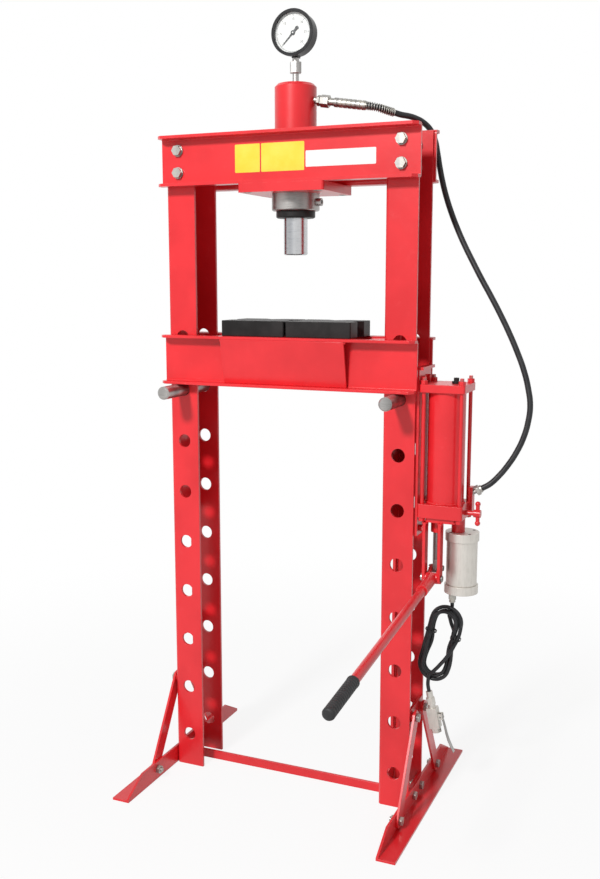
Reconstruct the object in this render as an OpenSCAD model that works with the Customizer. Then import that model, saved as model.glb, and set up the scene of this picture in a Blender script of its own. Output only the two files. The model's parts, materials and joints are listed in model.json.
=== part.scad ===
// Floor-standing shop press: bolted H-frame, bottle ram and air or hand pump.
// Millimetres, Z up. The origin is on the floor, midway between the uprights.
// X runs across the frame to the right, Y runs from the front to the back.

/* [Frame] */
// Width over the two uprights
frame_width = 564; // [460:2:760]
// Front face width of one upright
post_width = 68; // [56:1:90]
// Front to back depth of one upright
post_depth = 100; // [84:2:130]
// Height of the uprights
post_height = 1416; // [1300:2:1700]
// Thickness of the folded steel
steel = 6; // [4:0.5:8]
// Distance between pin holes
hole_pitch = 115; // [90:1:140]
// Height of the lowest pin hole
first_hole = 76; // [60:1:110]
// Diameter of a pin hole
hole_d = 29; // [24:0.5:34]

/* [Head] */
// Length of a channel past the frame at each end
channel_past = 5; // [0:1:12]
// Height of a channel
channel_height = 104; // [90:1:130]
// Reach of a channel flange from the upright
channel_reach = 33; // [26:1:48]
// Height of the underside of the head
head_low = 1315; // [1200:1:1560]

/* [Bed] */
// Pin hole the bed stands on, counted from the floor at zero
bed_hole = 7; // [2:1:8]
// Diameter of a bed pin
pin_d = 28; // [22:0.5:32]
// Thickness of an arbor plate
arbor_h = 33; // [20:1:45]

/* [Ram] */
// Diameter of the ram
ram_d = 50; // [36:1:60]
// Diameter of the ram cylinder
cylinder_d = 87; // [76:1:94]
// Height of the top of the ram cylinder
cylinder_top = 1517; // [1460:1:1760]
// Height of the ram's nose with the ram up
ram_low = 1171; // [1150:1:1240]
// Diameter of the pressure gauge
gauge_d = 92; // [60:1:110]

/* [Pump] */
// Diameter of the oil reservoir
reservoir_d = 76; // [60:1:84]
// Height of the reservoir tube
reservoir_h = 229; // [160:1:240]
// Diameter of the air motor
motor_d = 64; // [50:1:70]
// Length of the handle from its pivot
handle_length = 582; // [400:2:700]

/* [Hidden] */
$fn = 48;
tiny = 0.02;
play = 0.3;

post_x = frame_width / 2 - post_width;
post_mid = frame_width / 2 - post_width / 2;
half_d = post_depth / 2;
channel_length = frame_width + 2 * channel_past;
post_fold = 8;
hole_count = 9;
window_w = 64;
window_r = 14;
window_low = [50, 252];
window_high = [330, 260];
brace_z = 202;
tab_h = 38;
foot_bolt_y = 25;

bed_gap = 1;
pin_z = first_hole + bed_hole * hole_pitch;
pin_front = -half_d - 90;
pin_back = half_d + 16;
bed_low = pin_z + pin_d / 2 + play;
bed_top = bed_low + channel_height + 2;
bed_back = half_d + bed_gap;
cover_half = 140;
spacer_x = 186;
arbor_half_x = 147;
arbor_split = 4;
arbor_half_y = bed_back + 11;

foot_x = frame_width / 2;
foot_half = 262;
foot_leg = 40;
foot_t = 5;
foot_nose = 24;
brace_foot_y = 138;
brace_foot_z = 22;
brace_post_y = 30;
brace_w = 30;
brace_t = 5;
brace_x = foot_x + foot_t;

head_bolt_x = post_mid;
head_bolt_rise = 23;
bolt_r = 6;
bolt_head_af = 19;
bolt_head_h = 8;
washer_r = 12;
washer_t = 2.5;
nut_h = 10;

plate_x = 190;
plate_y = 166;
plate_t = 18;
plate_low = head_low - plate_t;
plate_bolt_x = 78;
plate_bolt_y = half_d + 19;

cyl_r = cylinder_d / 2;
bore_r = 32;
collar_r = 50;
collar_h = 35;
collar_low = plate_low - collar_h;
gland_r = 41;
gland_h = 15;
gland_low = collar_low - gland_h;
shoulder_r = 47;
shoulder_h = 14;
ram_r = ram_d / 2;
ram_top = cylinder_top - 40;
piston_h = 26;
set_screw_z = collar_low + 17;

gauge_r = gauge_d / 2;
gauge_depth = 30;
gauge_front = -20;
gauge_z = cylinder_top + 53 + gauge_r;
hex_low = cylinder_top + 22;
hex_h = 22;
dial_y = gauge_front + 7;
glass_y = gauge_front + 2.5;
pointer_rest = 225;

port_z = cylinder_top - 34;
port_tilt = 9;
hose_r = 6;
guard_r = 8.5;
sleeve_r = 9.5;
port_hex_at = 14;
sleeve_at = 44;
sleeve_end = 114;

pump_x = frame_width / 2 + 53;
pump_w = 100;
pump_d = 90;
base_low = 630;
base_h = 38;
base_top = base_low + base_h;
top_plate_h = 16;
top_plate_low = base_top + reservoir_h;
rod_x = 39;
rod_y = 36;
rod_r = 4;
bracket_t = 6;

lever_x = pump_x - 15;
fulcrum_y = -34;
fulcrum_z = 513;
fulcrum_r = 5;
plunger_y = 0;
plunger_arm = 34.9;
plunger_lift = 22.5;
plunger_r = 8;
cross_pin_r = 4;
cross_pin_z = fulcrum_z + plunger_arm * sin(plunger_lift);
cross_pin_y = fulcrum_y + plunger_arm * cos(plunger_lift);
handle_drop = 6;
socket_len = 74;
handle_r = 9;
grip_len = 112;
grip_r = 12.5;
lug_gap = 26;
lug_t = 6;

motor_x = pump_x + 33;
motor_y = 20;
motor_r = motor_d / 2;
port_from = [pump_x + 53, 20, base_top + 20];
motor_low = 474;
motor_top = 604;
cap_h = 18;

air_r = 4;
valve_top = [311.2, -7, 255.6];
valve_tilt = 12;
coil_x = 329;
coil_y = 2;
coil_z = 362;
coil_half = 58;
coil_r = 24;
coil_w = 17;
coil_t = 30;
coil_tilt = 14;

// Centre lines of the hoses, from end to end
guard_path = [
    [156.2, 0, 1465.1], [168, 0, 1463.2], [181, 5, 1460], [193, 16, 1456], [204, 29, 1453]
];
pressure_path = [
    [204, 29, 1453], [215, 42, 1450], [225, 57, 1449], [236, 73, 1446], [248, 88, 1439],
    [260, 100, 1425], [268, 107, 1405], [273, 111, 1378], [278, 112, 1350], [285, 111, 1320],
    [294, 109, 1290], [306, 106, 1258], [320, 103, 1226], [337, 99, 1192], [356, 95, 1158],
    [377, 90, 1122], [399, 86, 1086], [420, 82, 1050], [440, 78, 1013], [458, 74, 976],
    [474, 70, 938], [485, 65, 902], [491, 60, 868], [489, 55, 835], [482, 50, 804],
    [470, 44, 774], [454, 38, 746], [436, 32, 722], [420, 27, 706], [405.6, 23.4, 697.3]
];
air_path = [
    [352, 12, 452], [352, 12, 442], [350, 11, 433], [347, 9, 425]
];
tail_path = [
    [311, -7, 293], [309, -7, 282], [308.5, -7, 270], [311, -7, 256]
];

red = [0.78, 0.06, 0.07];
silver = [0.72, 0.72, 0.74];
black = [0.06, 0.06, 0.065];

// ---- shared shapes ----

module rod_x_axis(r, length) {
    rotate([0, 90, 0])
        cylinder(r = r, h = length);
}

module rod_y_axis(r, length) {
    rotate([-90, 0, 0])
        cylinder(r = r, h = length);
}

module hex_z(across, height) {
    cylinder(r = across / 2 / cos(30), h = height, $fn = 6);
}

// A rounded box in plan, standing on its underside
module round_block(x, y, height, r) {
    translate([-x / 2 + r, -y / 2, 0])
        cube([x - 2 * r, y, height]);
    translate([-x / 2, -y / 2 + r, 0])
        cube([x, y - 2 * r, height]);
    for (sx = [-1, 1])
        for (sy = [-1, 1])
            translate([sx * (x / 2 - r), sy * (y / 2 - r), 0])
                cylinder(r = r, h = height);
}

// Folded channel section: web on the Y axis, open towards +X
module channel_section(reach, depth, t, fold) {
    difference() {
        union() {
            translate([fold, -depth / 2])
                square([reach - fold, depth]);
            translate([0, -depth / 2 + fold])
                square([fold + tiny, depth - 2 * fold]);
            for (s = [-1, 1])
                translate([fold, s * (depth / 2 - fold)])
                    circle(r = fold);
        }
        translate([t + fold - t, -depth / 2 + t])
            square([reach, depth - 2 * t]);
        translate([t, -depth / 2 + fold])
            square([reach, depth - 2 * fold]);
        for (s = [-1, 1])
            translate([fold, s * (depth / 2 - fold)])
                circle(r = fold - t);
    }
}

// Long window with round corners, cut through a web that faces X
module web_window(low, height) {
    translate([0, 0, low + height / 2])
        rotate([0, 90, 0])
            translate([0, 0, -steel])
                round_block(height, window_w, steel * 3, window_r);
}

// ---- frame ----

module upright(left_x) {
    translate([left_x, 0, 0])
        difference() {
            linear_extrude(height = post_height)
                channel_section(post_width, post_depth, steel, post_fold);
            for (k = [0 : hole_count - 1])
                translate([post_width / 2, -half_d - 1, first_hole + k * hole_pitch])
                    rod_y_axis(hole_d / 2, post_depth + 2);
            web_window(window_low[0], window_low[1]);
            web_window(window_high[0], window_high[1]);
            for (sy = [-1, 1])
                for (sz = [-1, 1])
                    translate([head_bolt_x - post_x, sy * half_d, head_mid() + sz * head_bolt_rise])
                        rotate([90, 0, 0])
                            cylinder(r = bolt_r + play, h = 4 * steel, center = true);
            for (sz = [-1, 1])
                translate([post_x + post_width - head_bolt_x, 0, head_mid() + sz * head_bolt_rise])
                    rotate([90, 0, 0])
                        cylinder(r = bolt_r + play, h = post_depth + 4, center = true);
        }
}

function head_mid() = head_low + channel_height / 2;

module left_upright() {
    difference() {
        upright(-frame_width / 2);
        side_holes(-1);
    }
}

// Tabs close the open side where the right braces and foot are bolted
module right_upright() {
    difference() {
        union() {
            upright(post_x);
            for (z = [brace_z, brace_foot_z])
                translate([foot_x - steel, -half_d + steel - tiny, z - tab_h / 2])
                    cube([steel, post_depth - 2 * steel + 2 * tiny, tab_h]);
        }
        side_holes(1);
    }
}

// Bolt holes for the braces and for the foot
module side_holes(side) {
    for (hole = [[brace_post_y, brace_z], [foot_bolt_y, brace_foot_z]])
        for (sy = [-1, 1])
            translate([side * (foot_x - steel / 2), sy * hole[0], hole[1]])
                rotate([0, 90, 0])
                    cylinder(r = 5 + play, h = 3 * steel, center = true);
}

// Angle iron: upright leg against the post, flat leg outwards, nose cut back
module foot(side) {
    difference() {
        union() {
            translate([side > 0 ? foot_x : -foot_x - foot_t, -foot_half, 0])
                cube([foot_t, 2 * foot_half, foot_leg]);
            translate([side > 0 ? foot_x : -foot_x - foot_leg, -foot_half, 0])
                cube([foot_leg, 2 * foot_half, foot_t]);
        }
        for (end = [-1, 1])
            translate([side * foot_x, end * foot_half, foot_t + foot_leg / 2])
                rotate([end * -45, 0, 0])
                    translate([-foot_leg, -foot_leg / 2 + end * foot_nose / 2 - end * 4, 0])
                        cube([foot_leg * 2, foot_leg, foot_leg * 1.5]);
        for (end = [-1, 1])
            translate([side * foot_x, end * brace_foot_y, brace_foot_z])
                rotate([0, 90, 0])
                    cylinder(r = 5 + play, h = 4 * foot_t, center = true);
        for (end = [-1, 1])
            translate([side * foot_x, end * foot_bolt_y, brace_foot_z])
                rotate([0, 90, 0])
                    cylinder(r = 5 + play, h = 4 * foot_t, center = true);
    }
}

// Flat bar with round ends between a foot hole and an upright hole
module brace(side, end) {
    run = brace_foot_y - brace_post_y;
    rise = brace_z - brace_foot_z;
    length = sqrt(run * run + rise * rise);
    angle = atan2(rise, run);
    x0 = side > 0 ? brace_x : -brace_x - brace_t;
    translate([x0, end * brace_foot_y, brace_foot_z])
        mirror([0, end > 0 ? 1 : 0, 0])
            rotate([angle, 0, 0])
                rotate([90, 0, 90])
                    linear_extrude(height = brace_t)
                        bar_outline(length, brace_w / 2, 5 + play);
}

// Long bar with round ends and a hole at each end
module bar_outline(length, r, hole) {
    difference() {
        union() {
            translate([0, -r])
                square([length, 2 * r]);
            for (at = [0, length])
                translate([at, 0])
                    circle(r = r);
        }
        for (at = [0, length])
            translate([at, 0])
                circle(r = hole);
    }
}

// The braces stand off the post by the foot's thickness, so a spacer fills the gap
module braces(side) {
    for (end = [-1, 1]) {
        brace(side, end);
        translate([side > 0 ? foot_x : -brace_x + tiny, end * brace_post_y, brace_z])
            rotate([90, 0, 90])
                linear_extrude(height = foot_t - tiny)
                    difference() {
                        circle(r = 11);
                        circle(r = 5 + play);
                    }
    }
}

module cross_bar() {
    translate([-frame_width / 2 + steel, -3, 0])
        cube([post_x + frame_width / 2 - steel, 6, 20]);
}

// One M10 bolt along +X: head at the origin, nut on the far side
module frame_bolt(grip) {
    translate([-6.5, 0, 0])
        rotate([0, 90, 0])
            hex_z(17, 6.5);
    rod_x_axis(5, grip + 12);
    translate([grip, 0, 0])
        rotate([0, 90, 0])
            hex_z(17, 8);
}

module foot_bolts() {
    for (side = [-1, 1])
        for (end = [-1, 1]) {
            translate([side * (brace_x + brace_t), end * brace_foot_y, brace_foot_z])
                rotate([0, 0, side > 0 ? 180 : 0])
                    frame_bolt(foot_t + brace_t);
            translate([side * (brace_x + brace_t), end * brace_post_y, brace_z])
                rotate([0, 0, side > 0 ? 180 : 0])
                    frame_bolt(foot_t + brace_t + steel);
        }
    for (side = [-1, 1])
        for (end = [-1, 1])
            translate([side * brace_x, end * foot_bolt_y, brace_foot_z])
                rotate([0, 0, side > 0 ? 180 : 0])
                    frame_bolt(foot_t + steel);
}

// ---- head ----

// Channel along X with its back on the XZ plane and its flanges towards -Y
module cross_channel(height) {
    difference() {
        translate([-channel_length / 2, 0, height / 2])
            rotate([90, 0, 90])
                mirror([1, 0, 0])
                    linear_extrude(height = channel_length)
                        channel_section(channel_reach, height, steel, post_fold);
        for (side = [-1, 1])
            translate([side * channel_length / 2, -channel_reach, height / 2])
                rotate([0, 0, 45])
                    cube([14, 14, height + 2], center = true);
    }
}

module head_channel() {
    difference() {
        translate([0, -half_d, head_low])
            cross_channel(channel_height);
        for (sx = [-1, 1])
            for (sz = [-1, 1])
                translate([sx * head_bolt_x, -half_d - steel / 2, head_mid() + sz * head_bolt_rise])
                    rotate([90, 0, 0])
                        cylinder(r = bolt_r + play, h = 3 * steel, center = true);
        for (sx = [-1, 1])
            translate([sx * plate_bolt_x, -plate_bolt_y, head_low - 1])
                cylinder(r = bolt_r + play, h = steel + 2);
    }
}

// Hex bolt along +Y with its washer: the washer's face is at the origin
module wall_bolt(length) {
    translate([0, -washer_t - bolt_head_h, 0])
        rotate([-90, 0, 0])
            hex_z(bolt_head_af, bolt_head_h);
    translate([0, -washer_t, 0])
        rod_y_axis(washer_r, washer_t);
    translate([0, -washer_t, 0])
        rod_y_axis(bolt_r, length + washer_t);
}

module head_bolts() {
    for (back = [0, 1])
        mirror([0, back, 0])
            for (sx = [-1, 1])
                for (sz = [-1, 1])
                    translate([sx * head_bolt_x, -half_d - steel, head_mid() + sz * head_bolt_rise])
                        wall_bolt(2 * steel + nut_h + 4);
}

module head_nuts() {
    for (back = [0, 1])
        mirror([0, back, 0])
            for (sx = [-1, 1])
                for (sz = [-1, 1])
                    translate([sx * head_bolt_x, -half_d + steel, head_mid() + sz * head_bolt_rise])
                        rotate([-90, 0, 0])
                            difference() {
                                union() {
                                    cylinder(r = washer_r, h = washer_t);
                                    translate([0, 0, washer_t])
                                        hex_z(bolt_head_af, nut_h);
                                }
                                translate([0, 0, -1])
                                    cylinder(r = bolt_r + 0.1, h = nut_h + washer_t + 2);
                            }
}

module ram_plate() {
    translate([0, 0, plate_low])
        difference() {
            round_block(plate_x, plate_y, plate_t, 6);
            translate([0, 0, -1])
                cylinder(r = cyl_r + 0.2, h = plate_t + 2);
            for (sx = [-1, 1])
                for (sy = [-1, 1])
                    translate([sx * plate_bolt_x, sy * plate_bolt_y, -1])
                        cylinder(r = bolt_r + play, h = plate_t + 2);
        }
}

module ram_plate_bolts() {
    for (sx = [-1, 1])
        for (sy = [-1, 1])
            translate([sx * plate_bolt_x, sy * plate_bolt_y, 0]) {
                translate([0, 0, plate_low - bolt_head_h])
                    hex_z(bolt_head_af, bolt_head_h);
                translate([0, 0, plate_low - tiny])
                    cylinder(r = bolt_r, h = plate_t + steel + nut_h + 5);
                translate([0, 0, head_low + steel])
                    hex_z(bolt_head_af, nut_h);
            }
}

// ---- ram ----

// Thick tube with a closed, chamfered top and a shoulder on the plate
module ram_cylinder() {
    difference() {
        union() {
            translate([0, 0, collar_low])
                cylinder(r = cyl_r, h = cylinder_top - 6 - collar_low);
            translate([0, 0, cylinder_top - 6])
                cylinder(r1 = cyl_r, r2 = cyl_r - 6, h = 6);
            translate([0, 0, head_low])
                cylinder(r = shoulder_r, h = shoulder_h);
        }
        translate([0, 0, collar_low - 1])
            cylinder(r = bore_r, h = cylinder_top - 22 - collar_low);
        translate([0, 0, cylinder_top - 24])
            cylinder(r = 4, h = 40);
        translate([bore_r - 4, 0, port_z + 1])
            rod_x_axis(3, 20);
        at_port()
            translate([0, 0, -5])
                cylinder(r = 7.1, h = 20);
    }
}

// Ring nut under the plate, with its locking screw
module ram_collar() {
    difference() {
        union() {
            translate([0, 0, collar_low + 2])
                cylinder(r = collar_r, h = collar_h - 2);
            translate([0, 0, collar_low])
                cylinder(r1 = collar_r - 2, r2 = collar_r, h = 2);
            translate([collar_r - 3, 0, set_screw_z])
                rod_x_axis(8, 12);
        }
        translate([0, 0, collar_low - 1])
            cylinder(r = cyl_r + 0.1, h = collar_h + 2);
        translate([collar_r + 5, 0, set_screw_z])
            rotate([0, 90, 0])
                hex_z(8, 6);
    }
}

module ram_gland() {
    difference() {
        union() {
            translate([0, 0, gland_low + 2])
                cylinder(r = gland_r, h = gland_h - 2);
            translate([0, 0, gland_low])
                cylinder(r1 = gland_r - 3, r2 = gland_r, h = 2);
            translate([0, 0, collar_low - tiny])
                cylinder(r = bore_r - 0.1, h = 20);
        }
        translate([0, 0, gland_low - 1])
            cylinder(r = ram_r + play, h = gland_h + 24);
    }
}

// Ram with its piston head and a chamfered nose with a blind centre hole
module ram() {
    difference() {
        union() {
            translate([0, 0, ram_low])
                cylinder(r1 = ram_r - 2, r2 = ram_r, h = 2);
            translate([0, 0, ram_low + 2])
                cylinder(r = ram_r, h = ram_top - ram_low - 2);
            translate([0, 0, ram_top - piston_h])
                cylinder(r = bore_r - play, h = piston_h);
        }
        translate([0, 0, ram_low - 1])
            cylinder(r = 8, h = 22);
    }
}

// ---- gauge ----

module gauge_fitting() {
    translate([0, 0, cylinder_top])
        cylinder(r = 9, h = 5);
    translate([0, 0, cylinder_top])
        cylinder(r = 6.5, h = hex_low - cylinder_top);
    translate([0, 0, hex_low])
        hex_z(22, hex_h);
    translate([0, 0, hex_low + hex_h])
        cylinder(r = 7, h = gauge_z - gauge_r - hex_low - hex_h - 1);
}

// Cup with a rolled bezel, open at the front, on a square stem
module gauge_case() {
    difference() {
        union() {
            translate([0, gauge_front + 8, gauge_z])
                rod_y_axis(gauge_r - 2, gauge_depth - 8);
            translate([0, gauge_front, gauge_z])
                rod_y_axis(gauge_r, 9);
            translate([-7, -5, gauge_z - gauge_r - 1])
                cube([14, 14, 6]);
        }
        translate([0, gauge_front + 4, gauge_z])
            rod_y_axis(gauge_r - 5, gauge_depth - 7);
        translate([0, gauge_front - 1, gauge_z])
            rod_y_axis(gauge_r - 6.5, 8);
    }
}

module gauge_dial() {
    translate([0, dial_y, gauge_z])
        rod_y_axis(gauge_r - 5.2, 1.5);
    translate([0, dial_y + 1.5, gauge_z])
        rod_y_axis(9, gauge_depth - 3 - 8.5);
    translate([0, dial_y - 2.8, gauge_z])
        rod_y_axis(1.5, 3);
}

// Tapered needle with a counterweight, turning on the dial's post
module gauge_pointer() {
    translate([0, dial_y - 1.4, gauge_z])
        rotate([0, -pointer_rest, 0])
            difference() {
                rotate([90, 0, 0])
                    linear_extrude(height = 0.8)
                        union() {
                            circle(r = 4.5);
                            polygon([[-13, -2.6], [0, -1.8], [gauge_r - 14, -0.4],
                                [gauge_r - 14, 0.4], [0, 1.8], [-13, 2.6]]);
                        }
                translate([0, -2, 0])
                    rod_y_axis(1.55, 4);
            }
}

module gauge_glass() {
    translate([0, glass_y, gauge_z])
        rod_y_axis(gauge_r - 6.6, 1.5);
}

// ---- pressure hose ----

// Moves its children to the cylinder port, with +Z along the hose
module at_port() {
    translate([cyl_r, 0, port_z])
        rotate([0, 90 + port_tilt, 0])
            children();
}

module hose_fitting() {
    at_port() {
        translate([0, 0, -3])
            cylinder(r = 7, h = port_hex_at + 4);
        translate([0, 0, 6])
            hex_z(19, 6);
        translate([0, 0, port_hex_at])
            hex_z(22, 18);
        translate([0, 0, port_hex_at + 17])
            cylinder(r = 7.5, h = sleeve_at - port_hex_at - 17);
    }
}

module hose_sleeve() {
    at_port() {
        for (k = [0 : 6])
            translate([0, 0, sleeve_at + k * 10])
                cylinder(r = sleeve_r, h = 7);
        translate([0, 0, sleeve_at])
            cylinder(r = sleeve_r - 1.2, h = sleeve_end - sleeve_at);
    }
}

function unit(v) = v / norm(v);
function tangent(p, i) =
    i == 0 ? unit(p[1] - p[0]) :
    i == len(p) - 1 ? unit(p[i] - p[i - 1]) :
    unit(unit(p[i + 1] - p[i]) + unit(p[i] - p[i - 1]));
function side_of(t) = unit(cross(t, abs(t[1]) > 0.9 ? [1, 0, 0] : [0, 1, 0]));
function ring_point(p, t, r, a) =
    let (u = side_of(t), v = cross(t, u))
    p + r * cos(a) * u + r * sin(a) * v;

// Round tube along a list of points, closed at both ends
module tube_along(path, r, sides) {
    n = len(path);
    points = [
        for (i = [0 : n - 1])
            for (k = [0 : sides - 1])
                ring_point(path[i], tangent(path, i), r, 360 * k / sides)
    ];
    walls = [
        for (i = [0 : n - 2])
            for (k = [0 : sides - 1])
                [i * sides + k, (i + 1) * sides + k,
                    (i + 1) * sides + (k + 1) % sides, i * sides + (k + 1) % sides]
    ];
    first = [for (k = [0 : sides - 1]) k];
    last = [for (k = [sides - 1 : -1 : 0]) (n - 1) * sides + k];
    polyhedron(points = points, faces = concat(walls, [first], [last]), convexity = 8);
}

module hose_guard() {
    tube_along(guard_path, guard_r, 12);
}

module pressure_hose() {
    tube_along(pressure_path, hose_r, 12);
}

// ---- bed ----

module bed_channel() {
    translate([0, -bed_back, bed_low])
        cross_channel(channel_height + 2);
}

// Sloping plate welded between the flanges, proud at the top
module bed_cover() {
    drop = channel_height + 2 - 2 * steel;
    translate([0, -bed_back, bed_low + steel])
        rotate([90, 0, 90])
            translate([0, 0, -cover_half])
                linear_extrude(height = 2 * cover_half)
                    polygon([[-steel - 2.2, 0], [-steel - 7.2, 0], [-channel_reach, drop],
                        [-channel_reach + 5.2, drop]]);
}

module bed_spacers() {
    for (side = [-1, 1])
        translate([side * spacer_x, -bed_back, bed_low + channel_height / 2])
            difference() {
                rod_y_axis(15, 2 * bed_back);
                translate([0, -1, 0])
                    rod_y_axis(10, 2 * bed_back + 2);
            }
}

// Round bar with chamfered ends and a cross hole for pulling it out
module bed_pin(side) {
    translate([side * post_mid, pin_front, pin_z])
        difference() {
            union() {
                translate([0, 3, 0])
                    rod_y_axis(pin_d / 2, pin_back - pin_front - 6);
                rotate([-90, 0, 0])
                    cylinder(r1 = pin_d / 2 - 3, r2 = pin_d / 2, h = 3);
                translate([0, pin_back - pin_front - 3, 0])
                    rotate([-90, 0, 0])
                        cylinder(r1 = pin_d / 2, r2 = pin_d / 2 - 3, h = 3);
            }
            translate([0, 14, 0])
                cylinder(r = 3, h = pin_d + 2, center = true);
        }
}

// Thick plate with vee notches of different widths in its edges
module arbor_plate(side) {
    length = arbor_half_x - arbor_split / 2;
    translate([side * (length / 2 + arbor_split / 2), 0, bed_top])
        difference() {
            round_block(length, 2 * arbor_half_y, arbor_h, 4);
            for (n = [[1, 30]])
                translate([0, n[0] * arbor_half_y, -1])
                    rotate([0, 0, 45])
                        translate([-n[1] / 2, -n[1] / 2, 0])
                            cube([n[1], n[1], arbor_h + 2]);
            for (n = [[-1, 20], [1, 28]])
                translate([n[0] * length / 2, 0, -1])
                    rotate([0, 0, 45])
                        translate([-n[1] / 2, -n[1] / 2, 0])
                            cube([n[1], n[1], arbor_h + 2]);
        }
}

// ---- pump ----

// Folded plate over the open side of the upright, with two shelves for the pump
module pump_bracket() {
    top = top_plate_low + top_plate_h + 34;
    low = base_low - 30;
    translate([foot_x, -half_d + 8, low])
        cube([bracket_t, post_depth - 16, top - low]);
    translate([foot_x, -half_d + 8, top - 6])
        cube([bracket_t + 8, post_depth - 16, 6]);
    for (z = [low + 12, top - 26])
        for (sy = [-1, 1])
            translate([foot_x + bracket_t - tiny, sy * 18, z])
                rotate([0, 90, 0])
                    hex_z(13, 6);
    for (z = [low + 12, top - 26])
        for (sy = [-1, 1])
            translate([foot_x - 12, sy * 18, z])
                rod_x_axis(4, 14);
}

module pump_top_plate() {
    translate([pump_x, 0, top_plate_low])
        difference() {
            round_block(pump_w - 6, pump_d, top_plate_h, 5);
            for (sx = [-1, 1])
                for (sy = [-1, 1])
                    translate([sx * rod_x, sy * rod_y, -1])
                        cylinder(r = rod_r + play, h = top_plate_h + 2);
            translate([18, 0, 4])
                cylinder(r = 6.2, h = top_plate_h);
        }
}

module pump_reservoir() {
    translate([pump_x, 0, base_top])
        difference() {
            cylinder(r = reservoir_d / 2, h = reservoir_h);
            translate([0, 0, -1])
                cylinder(r = reservoir_d / 2 - 3, h = reservoir_h + 2);
        }
}

// Cast block with bores for the plunger, the release valve and the motor
module pump_base() {
    difference() {
        union() {
            translate([pump_x, 0, base_low + 10])
                round_block(pump_w - 6, pump_d, base_h - 10, 5);
            translate([pump_x, 0, base_low])
                round_block(pump_w - 38, pump_d - 14, 10.01, 5);
            translate([lever_x, cross_pin_y, base_low - 26])
                cylinder(r = 13, h = 30);
            translate([motor_x - 8, motor_y - 4, motor_top])
                cylinder(r = 14, h = base_low - motor_top + 14);
            translate([port_from[0] - 7, port_from[1] - 10, base_low + 12])
                cube([8, 20, port_from[2] - base_low]);
        }
        for (sx = [-1, 1])
            for (sy = [-1, 1])
                translate([pump_x + sx * rod_x, sy * rod_y, base_low - 1])
                    cylinder(r = rod_r + play, h = base_h + 2);
        translate([lever_x, cross_pin_y, base_low - 27])
            cylinder(r = plunger_r + play, h = 50);
        translate([pump_x + pump_w / 2 - 22, -14, base_low + 22])
            rod_x_axis(5 + play, 30);
        translate(port_from)
            multmatrix(aim(unit([0.87, 0.17, 0.46])))
                translate([0, 0, -4])
                    cylinder(r = 5.1, h = 16);
    }
}

module tie_rods() {
    for (sx = [-1, 1])
        for (sy = [-1, 1])
            translate([pump_x + sx * rod_x, sy * rod_y, 0]) {
                translate([0, 0, base_low + 9.5])
                    cylinder(r = rod_r, h = top_plate_low + top_plate_h + 14 - base_low - 9.5);
                translate([0, 0, top_plate_low + top_plate_h])
                    hex_z(13, 8);
                translate([0, 0, base_low + 2])
                    hex_z(13, 8);
            }
}

module filler_plug() {
    translate([pump_x + 18, 0, top_plate_low + 4.5])
        cylinder(r = 6, h = top_plate_h);
    translate([pump_x + 18, 0, top_plate_low + top_plate_h])
        cylinder(r = 9, h = 5);
    translate([pump_x + 18, 0, top_plate_low + top_plate_h + 4.9])
        hex_z(10, 7);
}

// Needle with a round hub and a cross bar to turn by hand
module release_valve() {
    translate([pump_x + pump_w / 2 - 20, -14, base_low + 22]) {
        rod_x_axis(5, 40);
        translate([34, 0, 0])
            rod_x_axis(8, 14);
        translate([42, 0, -20])
            cylinder(r = 4, h = 40);
        for (end = [-1, 1])
            translate([42, 0, end * 20])
                sphere(r = 5.5);
    }
}

// Hose end: nut and swaged tail, aimed up along the hose
module pump_fitting() {
    translate(port_from)
        multmatrix(aim(unit([0.87, 0.17, 0.46]))) {
            translate([0, 0, -2])
                cylinder(r = 5, h = 11);
            translate([0, 0, 7.5])
                hex_z(19, 7.5);
            translate([0, 0, 14])
                cylinder(r = 8, h = 6);
        }
}

// Matrix that turns +Z to a unit direction
function aim(t) =
    let (u = side_of(t), v = cross(t, u))
    [[u[0], v[0], t[0], 0], [u[1], v[1], t[1], 0], [u[2], v[2], t[2], 0], [0, 0, 0, 1]];

// ---- hand lever ----

// Two cheeks under the block that carry the fulcrum pin
module handle_lugs() {
    for (side = [-1, 1])
        translate([lever_x + side * (lug_gap / 2 + lug_t / 2) - lug_t / 2, 0, 0])
            difference() {
                union() {
                    translate([0, fulcrum_y - 11, fulcrum_z])
                        cube([lug_t, 22, base_low - fulcrum_z]);
                    translate([0, fulcrum_y, fulcrum_z])
                        rod_x_axis(11, lug_t);
                }
                translate([-1, fulcrum_y, fulcrum_z])
                    rod_x_axis(fulcrum_r + 0.05, lug_t + 2);
            }
}

module fulcrum_pin() {
    half = lug_gap / 2 + lug_t;
    translate([lever_x - half - 4, fulcrum_y, fulcrum_z])
        rod_x_axis(fulcrum_r, 2 * half + 8);
    translate([lever_x - half - 4, fulcrum_y, fulcrum_z])
        rod_x_axis(8, 4);
    translate([lever_x + half + 1, fulcrum_y, fulcrum_z])
        rod_x_axis(7, 2);
}

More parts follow.
